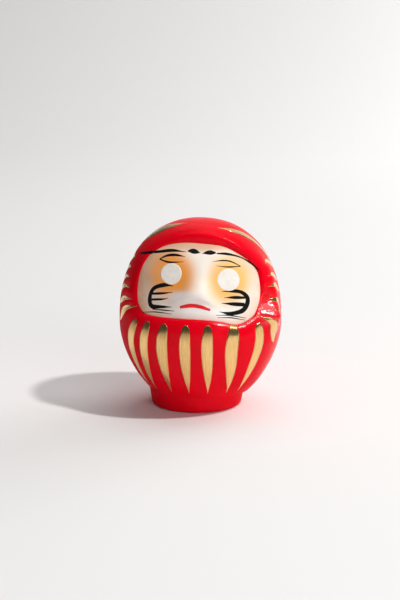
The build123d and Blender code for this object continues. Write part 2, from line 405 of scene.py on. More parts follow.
def lacquer(name):
    """Glossy red lacquer over slightly crumpled paper, thicker where the paper is tucked, with a
    painted sheen that grows to the right and upwards.
    """
    tree, shader = new_material(name)
    place = object_place(tree)
    tuck = attribute(tree, "tucked")
    smudges = clouds(tree, place, 45, 4, 0.6)
    coat_roughness = mapped(tree, tuck, (0, 1), (0.12, 0.18))
    dents = maths(tree, "MULTIPLY", tuck, clouds(tree, place, 460, 2, 0.5))
    dents = maths(tree, "MULTIPLY", dents, DENT_HEIGHT)
    wrinkles = clouds(tree, place, 900, 4, 0.55)
    height = maths(tree, "MULTIPLY_ADD", wrinkles, WRINKLE_HEIGHT, dents)
    crumple = bump(tree, height, 1.0, 1.0)
    # Painted sheen: stronger on the right and upper side, where the lamps' light falls.
    lit_side_sheen = vector_maths(tree, "DOT_PRODUCT", place, LIT_SIDE_SHEEN_ACROSS)
    set_inputs(tree, shader, {
        "Base Color": ramp(tree, clouds(tree, place, 60), RED_DARK, RED_LIGHT),
        "Roughness": 0.24,
        "Specular IOR Level": 0.0,
        "Normal": crumple,
        "Coat Weight": mapped(tree, tuck, (0, 1), (0.08, 1.0)),
        "Coat Roughness": maths(tree, "MULTIPLY_ADD", smudges, 0.07, coat_roughness),
        "Coat IOR": 1.9,
        "Coat Normal": crumple,
        "Sheen Weight": mapped(tree, lit_side_sheen, (0.02, 0.07), (0.05, 0.75)),
        "Sheen Roughness": 0.25,
        "Sheen Tint": (1.0, 0.86, 0.83, 1),
    })


GOLD_DARK = (0.74, 0.44, 0.15)
GOLD_LIGHT = (0.98, 0.66, 0.28)
# The dark of the strokes' thin sides, and also the painted shade at their starts.
GOLD_SHADE = (0.24, 0.13, 0.045)
BRUSH_STRETCH = (2.2, 0.12, 1)  # hairs are fine across a stroke and long along it


def gold():
    """Brushed gold, darker at the strokes' thin sides, and with painted shade where they start: a
    painted dark reflection on their tops.
    """
    tree, shader = new_material("gold_paint")
    brush = attribute(tree, "brush", "Vector")
    streaks = clouds(tree, vector_maths(tree, "MULTIPLY", brush, BRUSH_STRETCH), 1.0, 3, 0.6)
    colour = ramp(tree, streaks, GOLD_DARK, GOLD_LIGHT, 0.25, 0.6)
    thin = mapped(tree, separate(tree, brush, "Z"), (0.7, 1), (0, 0.45))
    # The painted shade at the strokes' starts comes in by the shade attribute.
    dark = maths(tree, "MAXIMUM", thin, attribute(tree, "shade"))
    set_inputs(tree, shader, {
        "Base Color": mixed(tree, dark, colour, GOLD_SHADE),
        "Metallic": 1.0,
        "Roughness": mapped(tree, streaks, (0, 1), (0.32, 0.14)),
        "Normal": bump(tree, streaks, 0.4, 0.0002),
    })


FACE_DARK = (0.92, 0.84, 0.74)
FACE_LIGHT = (0.96, 0.89, 0.80)
# Painted shade, brown, at the face's sunken edge and on its left side, away from the light.
FACE_PAINTED_SHADE = (0.80, 0.46, 0.27)
HALO_SOFT = 0.5
# Soft patches on the face, airbrushed orange round the eyes and then painted shade and painted light:
# x and z of the middle, half width, half height and colour.
FACE_HALOS_AND_PAINTED_LIGHT = [
    (-18.0, 88.0, 14.0, 13.5, (0.96, 0.35, 0.055)),
    (17.0, 85.0, 12.5, 13.0, (0.97, 0.54, 0.155)),
    # Painted shade under the nose's arch.
    (-8.0, 74.5, 11.0, 4.5, (0.92, 0.81, 0.77)),
    # Painted shade under the hood, along the face's top edge.
    (1.0, 105.5, 27.0, 4.5, (0.76, 0.50, 0.34)),
    # Painted light on the chin below the mouth.
    (0.0, 64.5, 20.0, 5.0, (1.0, 0.99, 0.96)),
]


def halo(tree, place, x, z, wide, high):
    """1 in the middle of a soft patch, falling to 0 round it."""
    moved = vector_maths(tree, "SUBTRACT", place, (x * MM, 0, z * MM))
    scaled = vector_maths(tree, "MULTIPLY", moved, (1 / (wide * MM), 0, 1 / (high * MM)))
    reach = vector_maths(tree, "LENGTH", scaled)
    return mapped(tree, reach, (1 - HALO_SOFT, 1 + HALO_SOFT), (1, 0), "SMOOTHERSTEP")


def face_paint():
    """White paint with soft patches of colour, painted shade and painted light; mottled painted shade
    darkens its edge and its left side.
    """
    tree, shader = new_material("face_white")
    place = object_place(tree)
    colour = ramp(tree, clouds(tree, place, 80), FACE_DARK, FACE_LIGHT)
    for *patch, tint in FACE_HALOS_AND_PAINTED_LIGHT:
        colour = mixed(tree, halo(tree, place, *patch), colour, tint)
    outward = attribute(tree, "outward")
    # Painted shade, mottled: darker towards the sunken edge and towards the left, away from the
    # light.
    edge_shade = mapped(tree, outward, (0.72, 1.02), (0, 0.55), "SMOOTHSTEP")
    left = mapped(tree, separate(tree, place, "X"), (-0.014, -0.036), (0, 0.6), "SMOOTHSTEP")
    blotches = ramp(tree, clouds(tree, place, 190, 4, 0.6), (0.55, 0.55, 0.55), (1, 1, 1))
    face_shade = maths(tree, "MULTIPLY", maths(tree, "ADD", edge_shade, left), blotches)
    set_inputs(tree, shader, {
        "Base Color": mixed(tree, face_shade, colour, FACE_PAINTED_SHADE),
        "Roughness": 0.5,
        "Normal": bump(tree, clouds(tree, place, 2500, 2), 0.15, 0.0001),
    })


def plain_paint(name, light, dark, roughness, scale, specular=0.5):
    """Slightly blotchy paint with a fine grain."""
    tree, shader = new_material(name)
    place = object_place(tree)
    set_inputs(tree, shader, {
        "Base Color": ramp(tree, clouds(tree, place, scale), dark, light),
        "Roughness": roughness,
        "Specular IOR Level": specular,
        "Normal": bump(tree, clouds(tree, place, 1500), 0.2, 0.0001),
    })


lacquer("red_lacquer")
lacquer("foot_lacquer")
gold()
face_paint()
plain_paint("black_ink", (0.009, 0.008, 0.007), (0.002, 0.002, 0.002), 0.6, 400, 0.12)
plain_paint("mouth_red", (0.93, 0.006, 0.012), (0.84, 0.003, 0.008), 0.35, 200)
plain_paint("eye_white", (0.93, 0.89, 0.83), (0.86, 0.80, 0.73), 0.45, 300)
plain_paint("raw_paper", (0.72, 0.65, 0.53), (0.60, 0.52, 0.41), 0.8, 300)
bpy.data.objects["seam_strip"].data.materials.clear()
bpy.data.objects["seam_strip"].data.materials.append(PAINTS["raw_paper"])


# ---- Meshes ----


def make_piece(name, points, faces, slot, replaced):
    """A smooth piece, from points in millimetres, in its slot's material, that stands for a node."""
    mesh = bpy.data.meshes.new(name)
    mesh.from_pydata((np.asarray(points) * MM).tolist(), [], faces)
    mesh.validate()
    mesh.polygons.foreach_set("use_smooth", [True] * len(mesh.polygons))
    mesh.materials.append(PAINTS[slot])
    piece = bpy.data.objects.new(name, mesh)
    bpy.context.scene.collection.objects.link(piece)
    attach(piece, "root")
    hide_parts(replaced)
    return piece


def add_attribute(piece, name, values, kind="FLOAT", field="value"):
    """Values on a piece's points, for its material to read."""
    piece.data.attributes.new(name, kind, "POINT").data.foreach_set(field, values)


def ring_faces(rings, columns, first=0, flip=False):
    """Quads between closed rings of points, that face whoever sees the rings grow anticlockwise."""
    faces = []
    for ring in range(rings - 1):
        for column in range(columns):
            beside = (column + 1) % columns
            a = first + ring * columns + column
            b = first + ring * columns + beside
            quad = (a, a + columns, b + columns, b)
            faces.append(quad[::-1] if flip else quad)
    return faces


def fan_faces(centre, ring_start, columns, flip=False):
    """Triangles from a point to a closed ring, that face whoever sees the ring run anticlockwise."""
    faces = []
    for column in range(columns):
        beside = (column + 1) % columns
        triangle = (centre, ring_start + column, ring_start + beside)
        faces.append(triangle[::-1] if flip else triangle)
    return faces


def layer_faces(rings, columns, first=0):
    """Faces of a closed thin layer: rings over it, the same rings under it, and then both middles."""
    under = first + rings * columns
    middle = under + rings * columns
    faces = ring_faces(rings, columns, first) + ring_faces(rings, columns, under, flip=True)
    faces += fan_faces(middle, first, columns) + fan_faces(middle + 1, under, columns, flip=True)
    upper, lower = under - columns, middle - columns
    for column in range(columns):
        beside = (column + 1) % columns
        faces.append((upper + beside, upper + column, lower + column, lower + beside))
    return faces


# ---- The rim of the face and the rest of the body ----

HOOD_REACH = 9.0  # how far past the rim the hood's bulge goes
CHEEK_PLACE = 9.5
CHEEK_REACH = 7.0


def face_ring(share):
    """A ring of the sunken face, a share of the way out to its edge."""
    u = FACE_MIDDLE[0] + outline_reach * share * np.cos(around)
    v = FACE_MIDDLE[1] + outline_reach * share * np.sin(around)
    return on_face(u, v, share, around)


edge = face_ring(1.0)
over_edge = edge.copy()
over_edge[:, 1] = -np.sqrt(body_reach(edge[:, 2]) ** 2 - edge[:, 0] ** 2)
edge_distance = np.linalg.norm(over_edge - HEAD_MIDDLE, axis=1)
edge_outward = unit(over_edge - HEAD_MIDDLE)
edge_spread = np.arccos(np.clip(edge_outward @ FACE_AXIS, -1, 1))
edge_sideways = unit(edge_outward - (edge_outward @ FACE_AXIS)[:, None] * FACE_AXIS)

roll_width = by_side(around, left=2.0, right=4.5, hood=7.0, chin=13.0)
hood_bulge = by_side(around, left=0.6, right=0.8, hood=2.2, chin=0.3)
cheek_bulge = 0.7 * (1 + np.cos(around)) * np.exp(-((np.sin(around) / 0.5) ** 2))
crest_spread = edge_spread + roll_width / edge_distance


def past_rim(angles):
    """The body's surface at angles from the face's axis, with the bulges of the hood and cheeks."""
    directions = np.cos(angles)[:, None] * FACE_AXIS + np.sin(angles)[:, None] * edge_sideways
    points = on_body(directions)
    past = (angles - crest_spread) * edge_distance
    hood = hood_bulge * np.exp(-((past / HOOD_REACH) ** 2))
    cheeks = cheek_bulge * np.exp(-(((past - CHEEK_PLACE) / CHEEK_REACH) ** 2))
    return points + body_normals(points) * (hood + cheeks)[:, None]


def rim_roll():
    """Rings that roll from the face's edge out to the body."""
    crest = past_rim(crest_spread)
    crest_normal = body_normals(crest)
    # The inner wall leans out beside the face and up under the hood.
    beside = np.abs(np.cos(around)) ** 1.5
    up = np.clip(np.sin(around), 0, 1) ** 1.5
    sideways = 1.15 * beside * np.sign(np.cos(around))
    wall = unit(np.column_stack((sideways, -np.ones(AROUND), 2.7 * up)))
    gap = crest - edge
    climb = np.sum(gap * crest_normal, axis=1) / np.sum(wall * crest_normal, axis=1)
    rise = wall * climb[:, None]
    run = gap - rise
    turns = math.pi / 2 * (np.arange(ROLL_RINGS) + 1) / ROLL_RINGS
    return [edge + rise * math.sin(turn) + run * (1 - math.cos(turn)) for turn in turns]


def skin(rings):
    """Points and faces of a surface through rings from the face to the back, closed at both poles."""
    columns = len(rings[0])
    poles = [face_ring(0)[:1], on_body(-FACE_AXIS[None])]
    points = np.concatenate(rings + poles)
    last = len(rings) * columns
    faces = ring_faces(len(rings), columns)
    faces += fan_faces(last, 0, columns)
    faces += fan_faces(last + 1, last - columns, columns, flip=True)
    return points, faces


def body_rings(start, count):
    """Rings from past the rim towards the middle of the back."""
    return [past_rim(start + (math.pi - start) * step / count) for step in range(1, count)]


def outer_skin():
    """The whole outside: face, rim and body."""
    face = [face_ring((step + 1) / FACE_RINGS) for step in range(FACE_RINGS)]
    return skin(face + rim_roll() + body_rings(crest_spread, BODY_RINGS))


INNER_THIN = 4  # the inside has every fourth column
INNER_FACE_RINGS = 14
INNER_BODY_RINGS = 40
BEHIND_FACE = WALL + 0.5
BEHIND_BODY = WALL + 0.3


def inner_skin():
    """The inside of the wall, coarser, and plain behind the rim."""
    behind_face = []
    for share in np.linspace(0.1, 1, INNER_FACE_RINGS):
        behind_face.append(face_ring(share)[::INNER_THIN] + (0, BEHIND_FACE, 0))
    start = crest_spread + 2.5 / edge_distance
    behind_body = []
    for ring in [past_rim(start)] + body_rings(start, INNER_BODY_RINGS):
        behind_body.append((ring - body_normals(ring) * BEHIND_BODY)[::INNER_THIN])
    points, faces = skin(behind_face + behind_body)
    points[-2] += (0, BEHIND_FACE, 0)
    points[-1] += unit(HEAD_MIDDLE - points[-1]) * BEHIND_BODY
    return points, faces, surface_normals(points, faces)


def surface_normals(points, faces):
    """Smooth normals of a mesh."""
    mesh = bpy.data.meshes.new("scratch")
    mesh.from_pydata(points.tolist(), [], faces)
    normals = np.array([vertex.normal[:] for vertex in mesh.vertices])
    bpy.data.meshes.remove(mesh)
    return normals


def segment_distance(points, line):
    """Distance from points to a broken line, and how far along the line that is, from 0 to 1."""
    best = np.full(len(points), 1e9)
    share = np.zeros(len(points))
    for i in range(len(line) - 1):
        step = line[i + 1] - line[i]
        along = np.clip((points - line[i]) @ step / (step @ step), 0, 1)
        distance = np.linalg.norm(points - line[i] - along[:, None] * step, axis=1)
        nearer = distance < best
        best = np.where(nearer, distance, best)
        share = np.where(nearer, (i + along) / (len(line) - 1), share)
    return best, share


CREASE_DEPTH = 1.05
CREASE_REACH = 2.4
CREASE_LIMIT = 1.2  # where creases meet
CREASE_STEP = 4


def creases(points):
    """Folds in the paper beside the face: each side stroke lies in one, deepest near its front."""
    depth = np.zeros(len(points))
    for *places, width in SIDE_STROKES:
        azimuths, heights = through(places, CREASE_STEP).T
        turns = np.radians(azimuths)
        reach = body_reach(heights)
        line = np.column_stack((reach * np.sin(turns), -reach * np.cos(turns), heights))
        distance, share = segment_distance(points, line)
        along = np.sin(math.pi * np.clip(share, 0.04, 0.96)) ** 0.6 * (1.15 - share)
        depth = depth + CREASE_DEPTH * np.exp(-((distance / CREASE_REACH) ** 2)) * along
    return -np.minimum(depth, CREASE_LIMIT)


TUCK_MIDDLE = (41, -29, 65.5)
TUCK_REACH = (8, 9, 8)
TUCK_LEAN = (0.14, 0.12, -0.4)  # how steeply the tucked paper rises along each axis
TUCK_BULGES = [((43, -27, 59.5), 8, 3.4), ((40, -29, 71.5), 6.5, -2.8)]  # place, reach and height
CRUMPLE_MIDDLE = (41, -29.5, 67)
CRUMPLE_REACH = 6.5
CRUMPLE_HEIGHT = 0.4
CRUMPLE_SIZE = 2.2


def near(points, place, reach):
    """1 at a place, falling smoothly to 0 round it."""
    return np.exp(-((np.linalg.norm(points - place, axis=1) / reach) ** 2))


def tuck_share(points):
    """1 in the middle of the tucked corner, and 0 well outside it."""
    return np.exp(-(np.linalg.norm((points - TUCK_MIDDLE) / TUCK_REACH, axis=1) ** 4))


def corner_tuck(points):
    """Crumpled paper tucked in at the face's lower right corner: a slope facing up and forward."""
    lift = tuck_share(points) * ((points - TUCK_MIDDLE) @ TUCK_LEAN)
    for place, reach, height in TUCK_BULGES:
        lift += height * near(points, place, reach)
    crumpled = near(points, CRUMPLE_MIDDLE, CRUMPLE_REACH)
    for i in np.nonzero(crumpled > 0.03)[0]:
        lift[i] += CRUMPLE_HEIGHT * crumpled[i] * noise.noise(Vector(points[i]) / CRUMPLE_SIZE)
    return lift


# The finished outside. The face itself has no creases.
shell_points, shell_faces = outer_skin()
shell_normals = surface_normals(shell_points, shell_faces)
pole = len(shell_points) - 2  # the middle of the face
beyond = np.arange(len(shell_points)) >= FACE_RINGS * AROUND
beyond[pole] = False
lift = waviness(shell_points)
lift[beyond] += creases(shell_points[beyond]) + corner_tuck(shell_points[beyond])
shell_points = shell_points + shell_normals * lift[:, None]
shell_normals = surface_normals(shell_points, shell_faces)
shell_tree = BVHTree.FromPolygons([Vector(p) for p in shell_points], shell_faces)


# ---- Shell halves ----

BOSS_RADIUS = 18.3  # the opening in the bottom of the shell
JOIN_NORMAL = Vector((math.sin(JOIN_LEAN), 0, math.cos(JOIN_LEAN)))
JOIN_PLACE = Vector((FOOT_X, 0, FOOT_HEIGHT))
CUT_WITHIN = 1e-5


def everything(form):
    """All the elements of a bmesh."""
    return list(form.verts) + list(form.edges) + list(form.faces)


def add_skin(form, points, faces, normals):
    """Add a surface to a bmesh, with its smooth normals kept on the vertices."""
    kept = form.verts.layers.float_vector["smooth"]
    vertices = []
    for point, normal in zip(points, normals):
        vertex = form.verts.new(point)
        vertex[kept] = normal
        vertices.append(vertex)
    for face in faces:
        form.faces.new([vertices[corner] for corner in face])


def cut_away(form, elements, place, normal):
    """Cut off what lies beyond a plane and give the edges left along the cut."""
    result = bmesh.ops.bisect_plane(
        form, geom=elements, plane_co=place, plane_no=normal, clear_outer=True, dist=CUT_WITHIN
    )
    return [part for part in result["geom_cut"] if isinstance(part, bmesh.types.BMEdge)]


def turn_flat(form, face, direction):
    """Mark a face as part of a cut, to stay flat, and turn it to a direction."""
    face[form.faces.layers.int["cut"]] = 1
    face.normal_update()
    if face.normal.dot(direction) < 0:
        face.normal_flip()


def fill_cut(form, edges, normal):
    """Close a flat cut so that it faces along the normal."""
    filled = bmesh.ops.triangle_fill(form, use_beauty=True, use_dissolve=False, edges=edges)
    for made in filled["geom"]:
        if isinstance(made, bmesh.types.BMFace):
            turn_flat(form, made, normal)


def boss_circle(form, middle, steps=96):
    """The edge of the hole for the foot's boss, along the join: its points and edges."""
    side = Vector((0, 1, 0))
    across = side.cross(JOIN_NORMAL)
    ring = []
    for step in range(steps):
        turn = 2 * math.pi * step / steps
        from_middle = across * math.cos(turn) + side * math.sin(turn)
        ring.append(form.verts.new(middle + from_middle * BOSS_RADIUS))
    return ring, [form.edges.new((ring[i], ring[(i + 1) % steps])) for i in range(steps)]


def add_hole_wall(form, lower_ring, upper_ring):
    """The wall of the hole, through the shell's thickness, facing into the hole."""
    steps = len(lower_ring)
    for i in range(steps):
        beside = (i + 1) % steps
        wall = form.faces.new((lower_ring[i], upper_ring[i], upper_ring[beside], lower_ring[beside]))
        turn_flat(form, wall, JOIN_PLACE - wall.calc_center_median())


def shell_solid():
    """The hollow shell as a closed bmesh, with a hole at the bottom for the foot's boss."""
    form = bmesh.new()
    form.verts.layers.float_vector.new("smooth")
    form.faces.layers.int.new("cut")

    add_skin(form, shell_points, shell_faces, shell_normals)
    edges = cut_away(form, everything(form), JOIN_PLACE, -JOIN_NORMAL)
    lower_ring, lower_edges = boss_circle(form, JOIN_PLACE)
    fill_cut(form, edges + lower_edges, -JOIN_NORMAL)

    before = set(everything(form))
    points, faces, normals = inner_skin()
    add_skin(form, points, [face[::-1] for face in faces], -normals)
    inside = [part for part in everything(form) if part not in before]
    floor_place = JOIN_PLACE + JOIN_NORMAL * WALL
    edges = cut_away(form, inside, floor_place, -JOIN_NORMAL)
    upper_ring, upper_edges = boss_circle(form, floor_place)
    fill_cut(form, edges + upper_edges, JOIN_NORMAL)
    add_hole_wall(form, lower_ring, upper_ring)
    return form


COLLAR_LEVEL = 60.5  # the chin's collar of tucked paper
COLLAR_REACH = 3.0
COLLAR_SHARE = 0.7


def tucked(points):
    """How strongly the paper is tucked and thickly lacquered: right of the chin and at the corner."""
    points = np.array(points)
    collar = np.exp(-(((points[:, 2] - COLLAR_LEVEL) / COLLAR_REACH) ** 2))
    collar *= np.clip((points[:, 0] - 4) / 12, 0, 1) * (points[:, 1] < -20)
    return np.clip(tuck_share(points) + COLLAR_SHARE * collar, 0, 1)


def half_shell(name, keep, replaced):
    """One half of the shell, cut at the seam, with the whole shell's smooth normals."""
    half = shell_solid()
    edges = cut_away(half, everything(half), Vector((0, SEAM_Y, 0)), keep)
    fill_cut(half, edges, keep)
    bmesh.ops.triangulate(half, faces=[face for face in half.faces if len(face.verts) > 4])
    kept = half.verts.layers.float_vector["smooth"]
    cut = half.faces.layers.int["cut"]
    half.verts.index_update()
    points = [vertex.co[:] for vertex in half.verts]
    smooth = [vertex[kept].normalized() for vertex in half.verts]
    faces, corner_normals = [], []
    for face in half.faces:
        face.normal_update()
        faces.append([vertex.index for vertex in face.verts])
        for vertex in face.verts:
            normal = face.normal if face[cut] else smooth[vertex.index]
            corner_normals.append(normal[:])
    half.free()
    piece = make_piece(name, points, faces, "red_lacquer", replaced)
    piece.data.normals_split_custom_set(corner_normals)
    add_attribute(piece, "tucked", tucked(points))


half_shell("front_shell_lacquered", Vector((0, 1, 0)), "front_shell")
half_shell("back_shell_lacquered", Vector((0, -1, 0)), "back_shell")


# ---- Brush strokes ----

STROKE_STEP = 0.6
STROKE_ACROSS = 8  # quads across a stroke
STROKE_SIDE = 0.3  # the paint's thickness at a stroke's side, as a share of that in its middle
PAINT_ROOT = 0.15  # how deep the underside of strokes and eyes lies in the shell
RAY_START = 5  # above the shell
BESIDE_DOLL = 90
ABOVE_DOLL = 160
BRUSH_APART = 40  # from one stroke's brush marks to the next one's
PAINTED_SHADE_REACH = 9.0  # how far the painted shade at a gold stroke's start goes
LIT_SHARE = 0.75  # the tops on the right catch the light, so they get less painted shade


def cast(origin, outward):
    """Where a ray back to the shell meets it, or its nearest place; the normal; the way out."""
    point, normal, _, _ = shell_tree.ray_cast(Vector(origin), -Vector(outward))
    if point is None:
        point, normal, _, _ = shell_tree.find_nearest(Vector(origin))
    return np.array(point), np.array(normal), np.array(outward, float)


def from_front(x, z):
    return cast((x, -BESIDE_DOLL, z), (0, -1, 0))


def from_side(azimuth, z):
    turn = math.radians(azimuth)
    outward = np.array((math.sin(turn), -math.cos(turn), 0))
    return cast(outward * BESIDE_DOLL + (0, 0, z), outward)


def from_above(x, y):
    return cast((x, y, ABOVE_DOLL), (0, 0, 1))


def stroke_points(centres, lengths, widths, thickness):
    """Points over and then under a softly domed stroke, row by row, and their brush marks."""
    places, normals, outwards = (np.array(part) for part in zip(*centres))
    across = unit(np.cross(unit(np.gradient(places, axis=0)), normals))
    top, bottom, marks = [], [], []
    for place, side, outward, length, width in zip(places, across, outwards, lengths, widths):
        for t in np.linspace(-1, 1, STROKE_ACROSS + 1):
            target = place + side * (t * width / 2) + outward * RAY_START
            found, normal, _ = cast(target, outward)
            dome = STROKE_SIDE + (1 - STROKE_SIDE) * math.sqrt(max(0.0, 1 - t**4))
            top.append(found + normal * thickness * dome)
            bottom.append(found - normal * PAINT_ROOT)
            marks.append((t * width / 2, length, abs(t)))  # across, along, share to the side
    return np.array(top + bottom), np.array(marks + marks)


def stroke_faces(rows):
    """Faces of a closed stroke: over and under it, down both sides and at both ends."""
    columns = STROKE_ACROSS + 1
    under = rows * columns
    faces = []
    for i in range(rows - 1):
        for j in range(STROKE_ACROSS):
            a = i * columns + j
            faces.append((a, a + 1, a + columns + 1, a + columns))
            faces.append((under + a, under + a + columns, under + a + columns + 1, under + a + 1))
        for a, flip in ((i * columns, True), (i * columns + STROKE_ACROSS, False)):
            side = (a, under + a, under + a + columns, a + columns)
            faces.append(side[::-1] if flip else side)
    for a, flip in ((0, False), ((rows - 1) * columns, True)):
        for j in range(STROKE_ACROSS):
            end = (a + j, under + a + j, under + a + j + 1, a + j + 1)
            faces.append(end[::-1] if flip else end)
    return faces


def paint_piece(name, replaced, strokes, cast_from, thickness, slot, painted_shade_start=0.0):
    """All the strokes of a node as one piece. A stroke is its middle's points and its width knots."""
    points, faces, marks, shades = [], [], [], []
    for number, (middle, width_knots) in enumerate(strokes):
        centres = [cast_from(*place) for place in through(middle, STROKE_STEP)]
        places = np.array([place for place, _, _ in centres])
        steps = np.linalg.norm(np.diff(places, axis=0), axis=1)
        lengths = np.concatenate(([0], np.cumsum(steps)))
        widths = smooth_steps(width_knots, lengths / lengths[-1])
        for face in stroke_faces(len(lengths)):
            faces.append(tuple(corner + len(points) for corner in face))
        made, made_marks = stroke_points(centres, lengths, widths, thickness)
        points += made.tolist()
        # Painted shade at each stroke's start, a painted dark reflection, less on the right where the
        # tops catch the light.
        lit = LIT_SHARE * np.clip((made[:, 0] - 5) / 20, 0, 1)
        starts = np.exp(-((made_marks[:, 1] / PAINTED_SHADE_REACH) ** 4))
        shades += (painted_shade_start * starts * (1 - lit)).tolist()
        marks += (made_marks + (0, BRUSH_APART * number, 0)).ravel().tolist()
    piece = make_piece(name, points, faces, slot, replaced)
    add_attribute(piece, "brush", marks, "FLOAT_VECTOR", "vector")
    add_attribute(piece, "shade", shades)


# Thickness of the paint.
INK = 0.1
GOLD = 0.12
MOUTH_PAINT = 0.2

PAINTED_SHADE_START = 0.6  # painted shade, a painted dark reflection on the tops: how dark the gold strokes start

# Strokes on the face: points as (x, z), and widths that stand evenly along the stroke.
BROWS = [
    ([(-36.5, 96.8), (-31.5, 98.5), (-26, 99.5), (-17, 101), (-8.5, 100.5)],
     (1.2, 2.0, 2.1, 2.4, 0.4)),
    ([(-7.5, 101), (-4.5, 101), (0, 100)], (1.2, 3.7, 3.2, 0.3)),
    ([(1, 99.8), (5, 100.2), (9, 100)], (0.3, 2.6, 3.4, 1.4)),
    ([(9.5, 99.6), (15, 99.2), (20, 98), (25, 96), (30.5, 92.3), (35, 88.5)],
     (1.0, 2.0, 1.4, 1.1, 1.5, 0.7)),
]
EYELIDS = [
    ([(-9, 98), (-15, 98.7), (-20, 98), (-24, 96)], (0.3, 1.9, 1.9, 0.9)),
    ([(-24.2, 95.8), (-18.5, 94.6), (-10, 95.2)], (0.9, 1.3, 0.3)),
    ([(7, 95.2), (12, 95.7), (17.5, 95), (23.5, 92)], (0.2, 1.0, 1.0, 0.6)),
    ([(23.7, 91.8), (16, 92), (9, 93)], (0.6, 1.0, 0.2)),
]
WHISKERS = [
    ([(-16, 81.5), (-21.5, 81.7), (-27, 79.7), (-29.5, 76),
      (-30, 71), (-28.5, 68.6), (-23.5, 69), (-17, 69.6)],
     (0.4, 2.8, 2.7, 2.8, 3.5, 2.9, 1.7, 0.5)),
    ([(-29, 76), (-20.5, 77.2), (-16.5, 78)], (1.5, 1.6, 0.4)),
    ([(-29, 72.6), (-22, 73.6), (-19, 74.5)], (1.5, 1.5, 0.4)),
    ([(-28.5, 67), (-22, 67.2), (-15.5, 67.4)], (0.4, 0.9, 0.4)),
    ([(-34.5, 64.2), (-26, 65.6), (-17, 65.4)], (0.3, 0.8, 0.3)),
    ([(12.5, 78.4), (18, 78.6), (24, 77.4), (27.6, 74),
      (27.5, 70), (24.5, 66.5), (17.5, 65.6), (11, 67.2)],
     (0.3, 2.3, 2.5, 3.4, 3.6, 3.0, 2.2, 0.3)),
    ([(14, 75), (20, 74.7), (26.5, 74)], (0.3, 2.2, 1.6)),
    ([(12.5, 71.9), (19, 71), (26, 70)], (0.4, 2.5, 2.6)),
    ([(9, 65.2), (17, 64.5), (27, 62)], (0.3, 0.8, 0.3)),
    ([(10, 63.8), (18, 63), (26.5, 60.8)], (0.3, 0.8, 0.3)),
]
MOUTH = [([(-12, 70), (-6, 71.2), (0, 70.6), (5.7, 68.6)], (1.6, 2.3, 2.2, 2.1, 1.4))]

# Gold strokes on the crown: points as (x, y) in plan.
CROWN_STROKES = [
    ([(-8.5, -10), (-18, -7.5), (-27, -3), (-36, 3)], (0.5, 6.5, 10.5, 9.0, 0.4)),
    ([(10.5, -17), (19, -14), (30, -8.5), (38, -5), (43, -3.5)], (0.4, 4.5, 6.0, 5.0, 3.5, 0.4)),
]


def evenly(strokes):
    """Strokes with their widths as knots that stand evenly along them."""
    return [(points, list(zip(np.linspace(0, 1, len(widths)), widths))) for points, widths in strokes]


def leaf(width, knots):
    """Width knots of a leaf-shaped stroke."""
    return [(share, width * part) for share, part in knots]


def belly_strokes():
    strokes = []
    for top, middle, tip, top_z, width in BELLY_STROKES:
        points = ((top, top_z), (middle, BELLY_MIDDLE), (tip, BELLY_TIP))
        strokes.append((points, leaf(width, BELLY_LEAF)))
    return strokes


def side_strokes():
    return [(places, leaf(width, SIDE_LEAF)) for *places, width in SIDE_STROKES]


def ink_piece(name, replaced, strokes):
    paint_piece(name, replaced, evenly(strokes), from_front, INK, "black_ink")


def gold_piece(name, replaced, strokes, cast_from, painted_shade_start=0.0):
    paint_piece(name, replaced, strokes, cast_from, GOLD, "gold_paint", painted_shade_start)


ink_piece("brow_strokes", "brow_lines", BROWS)
ink_piece("eyelid_strokes", "eyelid_lines", EYELIDS)
ink_piece("whisker_strokes", "whisker_lines", WHISKERS)
paint_piece("mouth_stroke", "mouth_line", evenly(MOUTH), from_front, MOUTH_PAINT, "mouth_red")
gold_piece("gold_belly_brushwork", "gold_belly_strokes", belly_strokes(), from_side, PAINTED_SHADE_START)
gold_piece("gold_side_brushwork", "gold_side_strokes", side_strokes(), from_side, PAINTED_SHADE_START)
gold_piece("gold_crown_brushwork", "gold_crown_strokes", evenly(CROWN_STROKES), from_above)


# ---- White coat and eyes ----

COAT = 0.06
COAT_ROOT = 0.2


def face_coat():
    """White coat over the sunken face, thinner at its edge."""
    count = FACE_RINGS * AROUND
    last = count - AROUND
    points = shell_points[:count]
    normals = shell_normals[:count]
    top = points + normals * COAT
    top[last:] = points[last:] + unit(normals[last - AROUND : last]) * COAT * 0.5
    bottom = points - normals * COAT_ROOT
    middles = [shell_points[pole] + shell_normals[pole] * height for height in (COAT, -COAT_ROOT)]
    points = np.concatenate((top, bottom, middles))
    faces = layer_faces(FACE_RINGS, AROUND)
    piece = make_piece("face_coat_painted", points, faces, "face_white", "face_coat")
    outward = np.repeat((np.arange(FACE_RINGS) + 1) / FACE_RINGS, AROUND)
    add_attribute(piece, "outward", np.concatenate((outward, outward, (0, 0))))


EYES = [(-17.3, 88.2, 6.2, 5.95, 0.5), (16.4, 84.8, 6.8, 6.05, -0.3)]  # x, z, half sizes and turn
EYE_COLUMNS = 96
EYE_RINGS = 18
EYE_HEIGHT = 0.2
EYE_EDGE = 0.09
RIPPLE_HEIGHT = 0.02
RIPPLE_LENGTH = 1.1


def eye_outline(x, z, wide, high, lean):
    """From an eye's middle to its slightly uneven edge, as x and z, all the way round."""
    turns = 2 * math.pi * np.arange(EYE_COLUMNS) / EYE_COLUMNS
    uneven = 1 + 0.02 * np.sin(2 * turns + x) + 0.012 * np.sin(3 * turns + z)
    a = wide * uneven * np.cos(turns)
    b = high * uneven * np.sin(turns)
    cos, sin = math.cos(lean), math.sin(lean)
    return np.column_stack((a * cos - b * sin, a * sin + b * cos))


